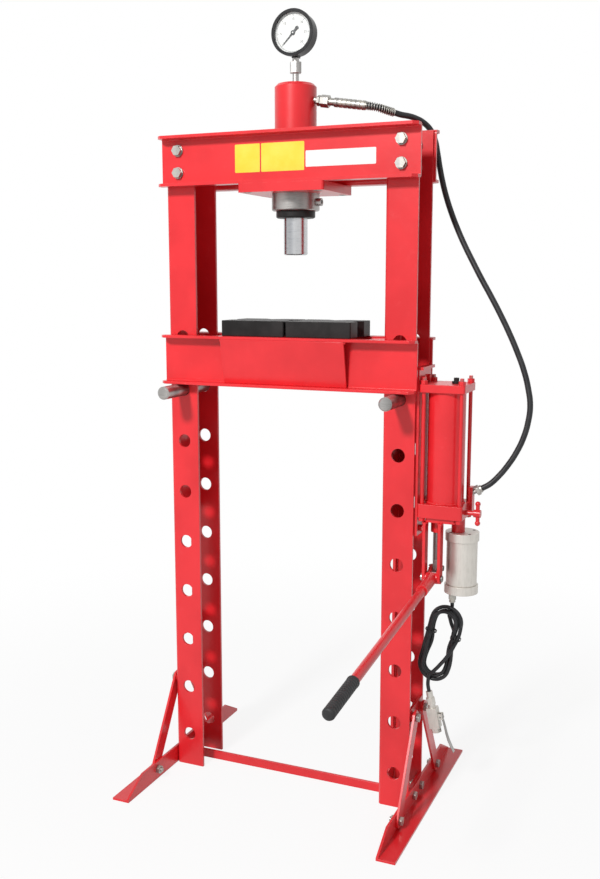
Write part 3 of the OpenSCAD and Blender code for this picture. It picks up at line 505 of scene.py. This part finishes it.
def makeAirHose(setup):
    run, folds = setup["run"], setup["folds"]
    local = list(setup["into"])
    for half, (radius, before, after, drawn) in enumerate(folds):  # down on the right, up on the left
        way = 1 if half % 2 == 0 else -1
        for step in range(setup["steps"] + 1):
            angle = pi * step / setup["steps"]
            local.append((way * radius * cos(angle), -way * (run + radius * sin(angle)),
                          before + (after - before) * step / setup["steps"]))
        if half < len(folds) - 1:
            wider, further = folds[half + 1][:2]
            for share in (0.0, 0.5, 1.0):
                local.append((way * (4 * drawn * share * (1 - share) - radius - (wider - radius) * share),
                              way * run * setup["straight"] * (share - 0.5),
                              after + (further - after) * share))
    local += setup["outOf"]
    rise = setup["easing"]
    easing = rise + [1] * (len(local) - 2 * len(rise)) + rise[::-1]
    local = [(u + setup["lean"] * y * share, w, y) for (u, w, y), share in zip(local, easing)]
    route = setup["entry"] + [hankPoint(setup, *p) for p in local] + setup["tail"]
    hose = addTube("airHose", route, setup["diameter"] / 2, "hose_cover", "frame", 5, 4)
    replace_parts(hose, "air_hose", "air_hose_coil", "air_hose_tail")
    tie = makeHankTies(setup)
    block = softenNode("air_valve", softEdges["width"]["cast_alloy"])
    makeValveLever(valveLever)


valveLever = {
    "pivot": (0.3385, -0.007, 0.20415), "tilt": -12, "thick": 0.0026, "rolled": 0.0008,
    "pin": 0.0021, "pinHalf": 0.0085, "boss": 1.9, "bossHalf": 0.0043,
    "line": [(0, 0, 0.0084), (0.0022, -0.012, 0.0084), (0.0032, -0.026, 0.0092), (0.0038, -0.040, 0.0104),
             (0.0056, -0.054, 0.0110), (0.0090, -0.068, 0.0110), (0.0125, -0.080, 0.0104)],
}


# Pressed lever: a strip that follows a bent line, with rolled edges and its pin
def makeValveLever(setup):
    bm = bmesh.new()
    row = [bm.verts.new((x, -wide / 2, z)) for x, z, wide in setup["line"]]
    edges = [bm.edges.new(pair) for pair in zip(row, row[1:])]
    made = bmesh.ops.extrude_edge_only(bm, edges=edges)
    across = [v for v in made["geom"] if isinstance(v, bmesh.types.BMVert)]
    bmesh.ops.scale(bm, vec=(1, -1, 1), verts=across)
    bmesh.ops.recalc_face_normals(bm, faces=bm.faces)
    bmesh.ops.solidify(bm, geom=bm.faces[:], thickness=setup["thick"])
    rims = [e for e in bm.edges if e.calc_face_angle(0) > 1]
    roundEdges(bm, rims, setup["rolled"])
    rods = ((setup["pin"] * setup["boss"], setup["bossHalf"]), (setup["pin"], setup["pinHalf"]))
    for radius, half in rods:
        bmesh.ops.create_cone(bm, cap_ends=True, segments=28, radius1=radius, radius2=radius,
                              depth=2 * half, matrix=Matrix.Rotation(pi / 2, 4, "X"))
    place = Matrix.Translation(setup["pivot"]) @ Matrix.Rotation(radians(setup["tilt"]), 4, "Y")
    bmesh.ops.transform(bm, matrix=place, verts=bm.verts)
    piece = addPiece("valveLeverStrip", bm, "plain_steel", "valve_lever")
    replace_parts(piece, "air_valve_lever")
    return piece


tieStrap = {
    "wide": 0.0036, "thick": 0.0009, "lock": (0.006, 0.0035, 0.0055), "lockOut": 0.0012, "rolled": 0.0006,
}


# Two cable ties, each round one side of the hank
def makeHankTies(setup):
    bm = bmesh.new()
    turn = Matrix.Rotation(radians(setup["tilt"]), 4, "Y")
    for u, w, y, wide, deep in setup["ties"]:
        made = bmesh.ops.create_cone(bm, cap_ends=False, segments=28, radius1=1, radius2=1, depth=1)
        bmesh.ops.scale(bm, vec=(wide, deep, tieStrap["wide"]), verts=made["verts"])
        place = Matrix.Translation(hankPoint(setup, u, w, y)) @ turn
        bmesh.ops.transform(bm, matrix=place, verts=made["verts"])
    bmesh.ops.solidify(bm, geom=bm.faces[:], thickness=-tieStrap["thick"])
    bmesh.ops.recalc_face_normals(bm, faces=bm.faces)
    for u, w, y, wide, deep in setup["ties"]:
        front = y - deep - tieStrap["lockOut"]
        lock = addBlock(bm, Matrix.Translation(hankPoint(setup, u, w, front)) @ turn, tieStrap["lock"])
        roundEdges(bm, edgesOf(lock), tieStrap["rolled"])
    return addPiece("hankTies", bm, "black_plastic", "frame")


makePressureHose(pressureHose)
makeAirHose(airHose)
print("hoses made")


for node in frame["nodes"]:
    if node in softEdges["unsoftened"]:
        mesh = frame["nodes"][node].data
        mesh.materials.clear()
        mesh.materials.append(finishes[slotOf[node]])
    elif node not in softEdges["remade"]:
        softenNode(node, softEdges["own"].get(node, softEdges["width"][slotOf[node]]))
print("steelwork softened")


plateScrews = {
    "x": 0.078, "y": 0.069, "radius": 0.0085, "hexagon": 0.0035, "deep": 0.003, "domed": 0.0006,
    "chamfer": 0.001, "wall": 0.0004, "flange": 0.006,
}


# A low domed head on each end of the bolts, with a socket in the ends that show from below
def makePlateScrews(setup):
    bm = bmesh.new()
    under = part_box("ram_plate")[0].z
    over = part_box("head_channel_front")[0].z + setup["flange"]
    spots = [(x, y) for x in (-setup["x"], setup["x"]) for y in (-setup["y"], setup["y"])]
    for (x, y), (z, way) in product(spots, ((under, -1), (over, 1))):
        place = Matrix.Translation((x, y, z + way * setup["domed"] / 2))
        turn = Matrix.Rotation(0 if way > 0 else pi, 4, "X")
        made = bmesh.ops.create_cone(bm, cap_ends=True, segments=36, radius1=setup["radius"],
                                     radius2=setup["radius"] - setup["domed"], depth=setup["domed"],
                                     matrix=place @ turn)
        if way < 0:
            top = [f for f in facesOf(made["verts"]) if f.normal.z < -0.99]
            rim = setup["radius"] - setup["hexagon"] - setup["chamfer"]
            bmesh.ops.inset_region(bm, faces=top, thickness=rim)
            bmesh.ops.inset_region(bm, faces=top, thickness=setup["wall"], depth=-setup["deep"])
    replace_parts(addPiece("plateScrews", bm, "zinc_steel", "frame", 30), "ram_plate_bolts")


makePlateScrews(plateScrews)
print("plate screws made")


dialPrint = {
    "middle": (0, -0.0131, 1.616), "depth": 0.00012, "start": 225, "sweep": 270,
    "steps": 60, "ringRadius": 0.0365, "ringOut": 0.0006, "ringInner": 0.985,
    "minor": (0.00035, 0.0022), "major": (0.0008, 0.0045),
    "numbers": ["0", "5", "10", "15", "20", "25", "30"], "numberRadius": 0.0268, "numberSize": 0.0068,
}


def addMarks(bm, setup, face):
    each = setup["steps"] // (len(setup["numbers"]) - 1)
    for k in range(setup["steps"] + 1):
        wide, tall = setup["major"] if k % each == 0 else setup["minor"]
        if k % each == each // 2:
            tall = (setup["minor"][1] + setup["major"][1]) / 2
        angle = radians(setup["start"] - setup["sweep"] * k / setup["steps"])
        turn = Matrix.Rotation(-angle, 4, "Y") @ Matrix.Translation((setup["ringRadius"] - tall / 2, 0, 0))
        addBlock(bm, face @ turn, (tall, setup["depth"], wide))


def addRing(bm, setup, face):
    arc = bmesh.ops.create_circle(bm, segments=96, radius=setup["ringRadius"] + setup["ringOut"])
    bmesh.ops.transform(bm, matrix=face @ Matrix.Rotation(pi / 2, 4, "X"), verts=arc["verts"])
    rim = bmesh.ops.extrude_edge_only(bm, edges=edgesOf(arc["verts"]))
    moved = [v for v in rim["geom"] if isinstance(v, bmesh.types.BMVert)]
    bmesh.ops.scale(bm, vec=(setup["ringInner"], 1, setup["ringInner"]), verts=moved,
                    space=Matrix.Translation(-Vector(setup["middle"])))
    ring = [g for g in rim["geom"] if isinstance(g, bmesh.types.BMFace)]
    bmesh.ops.recalc_face_normals(bm, faces=ring)
    bmesh.ops.solidify(bm, geom=ring, thickness=setup["depth"])


def addNumber(bm, setup, face, word, angle):
    text = bpy.data.curves.new("dialNumber", "FONT")
    text.body = word
    text.size = setup["numberSize"]
    text.align_x = "CENTER"
    text.align_y = "CENTER"
    text.extrude = setup["depth"] / 2
    text.resolution_u = 3
    holder = bpy.data.objects.new("dialNumber", text)
    flat = bpy.data.meshes.new_from_object(holder)
    spot = Vector((cos(angle), 0, sin(angle))) * setup["numberRadius"]
    flat.transform(face @ Matrix.Translation(spot) @ Matrix.Rotation(pi / 2, 4, "X"))
    bm.from_mesh(flat)
    bpy.data.objects.remove(holder)


def makeDialPrint(setup):
    bm = bmesh.new()
    face = Matrix.Translation(setup["middle"])
    addMarks(bm, setup, face)
    addRing(bm, setup, face)
    for k, word in enumerate(setup["numbers"]):
        angle = radians(setup["start"] - setup["sweep"] * k / (len(setup["numbers"]) - 1))
        addNumber(bm, setup, face, word, angle)
    addPiece("dialPrint", bm, "pointer_black", "frame", 20)


makeDialPrint(dialPrint)


pointerWeight = {
    "middle": (0, -0.0148, 1.616), "angle": 45, "reach": 0.0125, "radius": 0.0036, "hub": 0.0047,
    "thick": 0.0009, "rolled": 0.0002,
}


# The round weight on the pointer's tail, and its hub
def makePointerWeight(setup):
    bm = bmesh.new()
    turn = Matrix.Rotation(radians(-setup["angle"]), 4, "Y")
    flat = Matrix.Rotation(pi / 2, 4, "X")
    for along, radius in ((setup["reach"], setup["radius"]), (0, setup["hub"])):
        place = Matrix.Translation(setup["middle"]) @ turn @ Matrix.Translation((along, 0, 0)) @ flat
        made = bmesh.ops.create_cone(bm, cap_ends=True, segments=32, radius1=radius, radius2=radius,
                                     depth=setup["thick"], matrix=place)
        rims = [e for e in edgesOf(made["verts"]) if e.calc_face_angle(0) > 1]
        roundEdges(bm, rims, setup["rolled"])
    addPiece("pointerWeight", bm, "pointer_black", "pointer")


makePointerWeight(pointerWeight)
print("dial printed")


labelSheets = {"corner": 0.0022, "edge": 0.00012, "thick": 0.00045, "first": 0.057, "second": 0.096}


def makeLabels(setup):
    for node, name in (("warning_labels", "yellowLabels"), ("spec_label", "whiteLabel")):
        low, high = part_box(node)
        spans = [(low.x, high.x)]
        if node == "warning_labels":
            spans = [(low.x, low.x + setup["first"]), (high.x - setup["second"], high.x)]
        bm = bmesh.new()
        for left, right in spans:
            size = Vector((right - left, setup["thick"], high.z - low.z))
            middle = Vector(((left + right) / 2, high.y - setup["thick"] / 2, (low.z + high.z) / 2))
            sheet = addBlock(bm, Matrix.Translation(middle), size)
            corners = [e for e in edgesOf(sheet)
                       if abs(e.verts[0].co.y - e.verts[1].co.y) > setup["thick"] / 2]
            roundEdges(bm, corners, setup["corner"], 5)
        rim = [e for e in bm.edges if e.calc_face_angle(0) > 1
               and max(v.co.y for v in e.verts) < low.y + setup["thick"] / 2]
        roundEdges(bm, rim, setup["edge"], 1)
        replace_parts(addPiece(name, bm, slotOf[node], "frame"), node)


makeLabels(labelSheets)
print("labels made")


weld = {
    "big": 0.0026, "small": 0.0022, "fine": 0.0020, "pitch": 0.0026, "half": 0.9, "jitter": 0.12,
    "barIn": 0.001, "barOut": 0.0008, "barUp": 0.0006, "barFoot": 0.004, "barHead": 0.002,
    "coverIn": 0.002, "coverUp": 0.0012, "coverOut": 0.0006, "coverRun": (0.003, 0.008),
    "lugWall": 0.006, "lugIn": 0.001, "lugDown": 0.0012,
    "tubeIn": 0.0012, "tubeOut": 0.0002, "cylinderUp": 0.0145, "cylinderRadius": 0.0440,
}


# One lump of a bead, which runs into the next
def addLump(bm, point, turn, size):
    size *= 1 + weld["jitter"] * (random.random() - 0.5) * 2
    place = Matrix.Translation(point) @ turn
    shape = Matrix.Diagonal((weld["pitch"] * weld["half"], size, size, 1))
    bmesh.ops.create_uvsphere(bm, u_segments=8, v_segments=5, radius=1, matrix=place @ shape)


def addBead(bm, start, end, size):
    start, end = Vector(start), Vector(end)
    turn = (end - start).normalized().to_track_quat("X", "Z").to_matrix().to_4x4()
    count = max(2, int((end - start).length / weld["pitch"]))
    for k in range(count):
        addLump(bm, start.lerp(end, (k + 0.5) / count), turn, size)


def addRoundBead(bm, middle, radius, size):
    count = int(2 * pi * radius / weld["pitch"])
    for k in range(count):
        angle = 2 * pi * k / count
        point = Vector(middle) + Vector((cos(angle), sin(angle), 0)) * radius
        addLump(bm, point, Matrix.Rotation(angle + pi / 2, 4, "Z"), size)


def makeWelds(setup):
    bm = bmesh.new()
    big, small, fine = setup["big"], setup["small"], setup["fine"]
    low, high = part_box("cross_bar")
    for x in (low.x + setup["barIn"], high.x - setup["barIn"]):
        for y in (low.y - setup["barOut"], high.y + setup["barOut"]):
            addBead(bm, (x, y, setup["barFoot"]), (x, y, high.z - setup["barHead"]), small)
    for x in (low.x + setup["barIn"], high.x - setup["barIn"]):
        top = high.z + setup["barUp"]
        addBead(bm, (x, low.y, top), (x, high.y, top), small)
    low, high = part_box("bed_cover")
    back, foot = high.y - setup["coverIn"], low.z + setup["coverUp"]
    addBead(bm, (low.x, back, foot), (high.x, back, foot), big)
    near, far = setup["coverRun"]
    for x in (low.x - setup["coverOut"], high.x + setup["coverOut"]):
        top = high.z - setup["coverIn"]
        addBead(bm, (x, low.y + near, top), (x, low.y + far, top), big)
    low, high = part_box("handle_lugs")
    wall, inset, top = setup["lugWall"], setup["lugIn"], high.z - setup["lugDown"]
    for x in (low.x, low.x + wall, high.x - wall, high.x):
        addBead(bm, (x, low.y + inset, top), (x, high.y - inset, top), fine)
    low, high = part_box("pump_reservoir")
    middle = (low + high) / 2
    for z in (low.z + setup["tubeIn"], high.z - setup["tubeIn"]):
        addRoundBead(bm, (middle.x, middle.y, z), (high.x - low.x) / 2 + setup["tubeOut"], fine)
    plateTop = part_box("ram_plate")[1].z
    addRoundBead(bm, (0, 0, plateTop + setup["cylinderUp"]), setup["cylinderRadius"], big)
    addPiece("weldBeads", bm, "red_paint", "frame", 60)


makeWelds(weld)
print("welds laid")


reservoirTube = {"wall": 0.003, "segments": 96, "rings": 11}


def makeReservoir(setup):
    low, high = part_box("pump_reservoir")
    middle = (low + high) / 2
    radius = (high.x - low.x) / 2
    bm = bmesh.new()
    bmesh.ops.create_cone(bm, cap_ends=False, segments=setup["segments"], radius1=radius, radius2=radius,
                          depth=high.z - low.z, matrix=Matrix.Translation(middle))
    upright = [e for e in bm.edges if abs(e.verts[0].co.z - e.verts[1].co.z) > 0.1]
    bmesh.ops.subdivide_edges(bm, edges=upright, cuts=setup["rings"])
    bmesh.ops.recalc_face_normals(bm, faces=bm.faces)
    bmesh.ops.solidify(bm, geom=bm.faces[:], thickness=setup["wall"])
    piece = addPiece("reservoirTube", bm, "red_paint", "frame")
    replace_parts(piece, "pump_reservoir")


makeReservoir(reservoirTube)


gripShape = {
    "pivot": (0.320, -0.034, 0.513), "drop": 6, "length": 0.585, "long": 0.115, "steps": 40,
    "radius": 0.0113, "bore": 0.0091, "flange": 0.0117, "lip": 0.003, "wall": 0.003,
    "ribs": 14, "ribsEnd": 0.012, "ribEase": 0.002, "groove": 0.0010,
    "rib": [(0.0, 1.0), (0.16, 0.15), (0.5, 0.0), (0.84, 0.15)],  # share of a rib, and of its groove
    "nose": [(0.0, 0.004), (0.0012, 0.0012), (0.004, 0.0)],  # in from the radius, and up from the end
    "crown": 0.0002,
}


# Moulded grip: a profile with finger grooves, spun round the bar
def makeGrip(setup):
    bm = bmesh.new()
    radius, groove, wall, long = setup["radius"], setup["groove"], setup["wall"], setup["long"]
    outline = [(0.0, wall), (setup["bore"], wall), (setup["bore"], long),
               (setup["flange"], long), (setup["flange"], long - setup["lip"])]
    start, end = long - 2 * setup["lip"], setup["ribsEnd"]
    step = (end - start) / setup["ribs"]
    for k in range(setup["ribs"]):
        at = start + (end - start) * k / setup["ribs"]
        outline += [(radius - groove * deep, at + step * share) for share, deep in setup["rib"]]
    outline += [(radius - groove, end), (radius, end - setup["ribEase"])]
    outline += [(radius - inwards, up) for inwards, up in setup["nose"]] + [(0.0, -setup["crown"])]
    knots = [bm.verts.new((r, 0, z)) for r, z in outline]
    lines = [bm.edges.new(pair) for pair in zip(knots, knots[1:])]
    bmesh.ops.spin(bm, geom=knots + lines, cent=(0, 0, 0), axis=(0, 0, 1), angle=2 * pi,
                   steps=setup["steps"], use_merge=True)
    bmesh.ops.remove_doubles(bm, verts=bm.verts, dist=0.000001)
    bmesh.ops.recalc_face_normals(bm, faces=bm.faces)
    place = (Matrix.Translation(setup["pivot"]) @ Matrix.Rotation(radians(setup["drop"]), 4, "X")
             @ Matrix.Translation((0, -setup["length"], 0)) @ Matrix.Rotation(-pi / 2, 4, "X"))
    bmesh.ops.transform(bm, matrix=place, verts=bm.verts)
    piece = addPiece("gripSleeve", bm, "black_rubber", "handle", 50)
    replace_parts(piece, "handle_grip")


makeGrip(gripShape)
print("reservoir and grip made")


rodEnds = {
    "pitch": 0.00125, "radius": 0.004, "long": 0.0055, "crest": 0.0003, "root": 0.0002,
    "inX": 0.0075, "inY": 0.0065, "above": 0.008,
}


# Rings with a crest in the middle stand one on the other as a thread
def addThread(bm, setup, foot):
    pitch, radius = setup["pitch"], setup["radius"]
    for k in range(int(setup["long"] / pitch)):
        spot = Matrix.Translation(foot + Vector((0, 0, (k + 0.5) * pitch)))
        for flip in (0, pi):
            half = Matrix.Rotation(flip, 4, "X") @ Matrix.Translation((0, 0, pitch / 4))
            bmesh.ops.create_cone(bm, cap_ends=False, segments=20, radius1=radius + setup["crest"],
                                  radius2=radius - setup["root"], depth=pitch / 2, matrix=spot @ half)


def makeRodThreads(setup):
    bm = bmesh.new()
    low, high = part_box("tie_rods")
    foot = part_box("pump_top_plate")[1].z + setup["above"]
    for x in (low.x + setup["inX"], high.x - setup["inX"]):
        for y in (low.y + setup["inY"], high.y - setup["inY"]):
            addThread(bm, setup, Vector((x, y, foot)))
    bmesh.ops.remove_doubles(bm, verts=bm.verts, dist=0.000001)
    bmesh.ops.holes_fill(bm, edges=[e for e in bm.edges if e.is_boundary])
    bmesh.ops.recalc_face_normals(bm, faces=bm.faces)
    addPiece("rodThreads", bm, "zinc_steel", "frame", 70)


makeRodThreads(rodEnds)


motorScrews = {
    "count": 4, "ring": 0.028, "radius": 0.0029, "tall": 0.0024, "down": 0.0014, "rim": 0.0013,
    "socket": 0.0014,
}


# Socket screws in both caps of the air motor
def makeMotorScrews(setup):
    bm = bmesh.new()
    low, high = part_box("air_motor_caps")
    for z, way in ((low.z, -1), (high.z, 1)):
        turn = Matrix.Rotation(0 if way > 0 else pi, 4, "X")
        for k in range(setup["count"]):
            angle = radians(45) + 2 * pi * k / setup["count"]
            spot = (low + high) / 2 + Vector((cos(angle), sin(angle), 0)) * setup["ring"]
            spot.z = z - way * setup["down"]
            made = bmesh.ops.create_cone(bm, cap_ends=True, segments=24, radius1=setup["radius"],
                                         radius2=setup["radius"], depth=setup["tall"],
                                         matrix=Matrix.Translation(spot) @ turn)
            top = [f for f in facesOf(made["verts"]) if f.normal.z * way > 0.9]
            bmesh.ops.inset_region(bm, faces=top, thickness=setup["rim"], depth=0)
            floor = once(v for f in top for v in f.verts)
            bmesh.ops.translate(bm, vec=(0, 0, -way * setup["socket"]), verts=floor)
    bmesh.ops.recalc_face_normals(bm, faces=bm.faces)
    addPiece("motorScrews", bm, "black_steel", "frame")


makeMotorScrews(motorScrews)
print("hardware made")


room = {
    "floorSize": 30, "floorColour": (0.86, 0.86, 0.86, 1),
    "whiteNear": 0.88, "fadeFrom": 0.3, "fadeTo": 2.0,  # the floor's white, which grows away from the feet
    "ambient": 0.36, "keyPower": 140, "keyReach": 4.2, "keySize": 0.5, "lightWay": (0.14, 0.83, -0.55),
    "aim": (0.05, 0, 0.85),
}


def floorFinish(setup):
    f = Finish("floorWhite")
    away = f.node("ShaderNodeVectorMath", {"operation": "LENGTH"}, {0: f.place}, output="Value")
    white = setup["whiteNear"] + away.clamped(setup["fadeFrom"], setup["fadeTo"]) * (1 - setup["whiteNear"])
    seen = f.raysThatSee() * white
    glow = f.node("ShaderNodeEmission", None, {"Color": (1, 1, 1, 1), "Strength": 1.0})
    f.surface(colour=setup["floorColour"], roughness=0.8, specular=0.1)
    blend = f.node("ShaderNodeMixShader", None, {0: seen, 1: Reading(f, f.shader.outputs[0]), 2: glow})
    f.feed(blend, f.tree.nodes["Material Output"].inputs["Surface"])
    return f.material


def makeFloor(setup):
    bm = bmesh.new()
    bmesh.ops.create_grid(bm, x_segments=1, y_segments=1, size=setup["floorSize"])
    mesh = bpy.data.meshes.new("floor")
    bm.to_mesh(mesh)
    bm.free()
    floor = bpy.data.objects.new("floor", mesh)
    scene.collection.objects.link(floor)
    mesh.materials.append(floorFinish(setup))


def makeStudio(setup):
    world = bpy.data.worlds.new("studio")
    scene.world = world
    world.use_nodes = True
    sky = Nodes(world.node_tree)
    level = sky.node("ShaderNodeMapRange", None,
                     {"Value": sky.raysThatSee(), "To Min": setup["ambient"], "To Max": 1.0})
    background = sky.tree.nodes["Background"]
    sky.feed((1, 1, 1, 1), background.inputs["Color"])
    sky.feed(level, background.inputs["Strength"])


def makeKeyLight(setup):
    way = Vector(setup["lightWay"]).normalized()
    lamp = bpy.data.lights.new("keyLight", "AREA")
    lamp.energy = setup["keyPower"]
    lamp.size = setup["keySize"]
    key = bpy.data.objects.new("keyLight", lamp)
    scene.collection.objects.link(key)
    key.location = Vector(setup["aim"]) - way * setup["keyReach"]
    key.rotation_euler = way.to_track_quat("-Z", "Y").to_euler()


makeFloor(room)
makeStudio(room)
makeKeyLight(room)
print("room lit")
